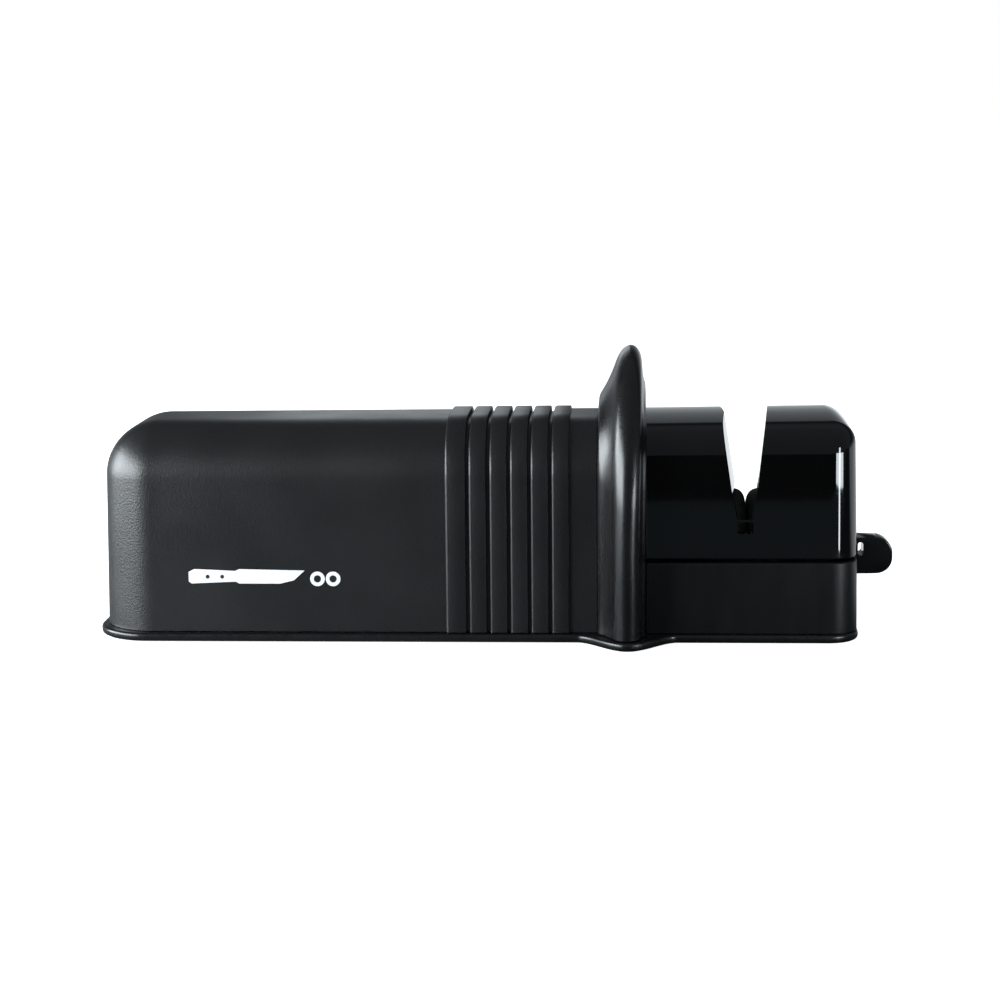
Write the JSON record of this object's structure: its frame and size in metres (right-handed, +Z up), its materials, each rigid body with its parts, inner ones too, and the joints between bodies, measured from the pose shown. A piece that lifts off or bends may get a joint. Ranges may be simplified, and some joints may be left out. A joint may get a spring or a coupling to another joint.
{
  "type": "axe and knife sharpener",
  "caption": "Hand-held pull-through sharpener for axes and knives: ribbed handle, finger guard, glossy head with a V notch over rolling grinding wheels.",
  "frame": {"origin": "centre of the footprint, on the resting plane", "axes": "+X along the handle towards the head and the hanging lug, +Z up, -Y the front side; the blade is drawn through the notch along Y"},
  "size_m": [0.1642, 0.0548, 0.0584],
  "materials": {
    "textured_shell": "fine even moulded texture, black",
    "satin_shell": "smooth satin black",
    "gloss_shell": "polished black",
    "base": "satin black",
    "pads": "matt non-slip rubber",
    "inner": "plain moulded",
    "steel": "turned steel",
    "ceramic": "rough grinding ceramic, dark grey"
  },
  "bodies": {
    "body": {"handle_shell": "textured_shell", "finger_guard": "satin_shell", "base_plate": "base", "sole_pad_handle": "pads", "sole_pad_head": "pads", "head_housing": "satin_shell", "head_cover": "gloss_shell", "hanging_lug": "gloss_shell", "wheel_cradle": "inner", "wheel_axle": "steel", "axle_clip_left": "steel", "axle_clip_right": "steel", "spacer_left": "steel", "spacer_right": "steel", "base_screw_left": "steel", "base_screw_middle": "steel", "base_screw_head_front": "steel", "base_screw_head_rear": "steel", "cradle_screw_front": "steel", "cradle_screw_rear": "steel"},
    "wheel_left": {"grinding_wheel_left": "ceramic", "wheel_bush_left": "inner"},
    "wheel_right": {"grinding_wheel_right": "ceramic", "wheel_bush_right": "inner"}
  },
  "joints": [
    {"name": "wheel_left_spin", "type": "hinge", "parent": "body", "child": "wheel_left", "pos_m": [0.04855, 0, 0.0159], "axis": [1, 0, 0], "continuous": true},
    {"name": "wheel_right_spin", "type": "hinge", "parent": "body", "child": "wheel_right", "pos_m": [0.05535, 0, 0.0159], "axis": [1, 0, 0], "continuous": true}
  ]
}
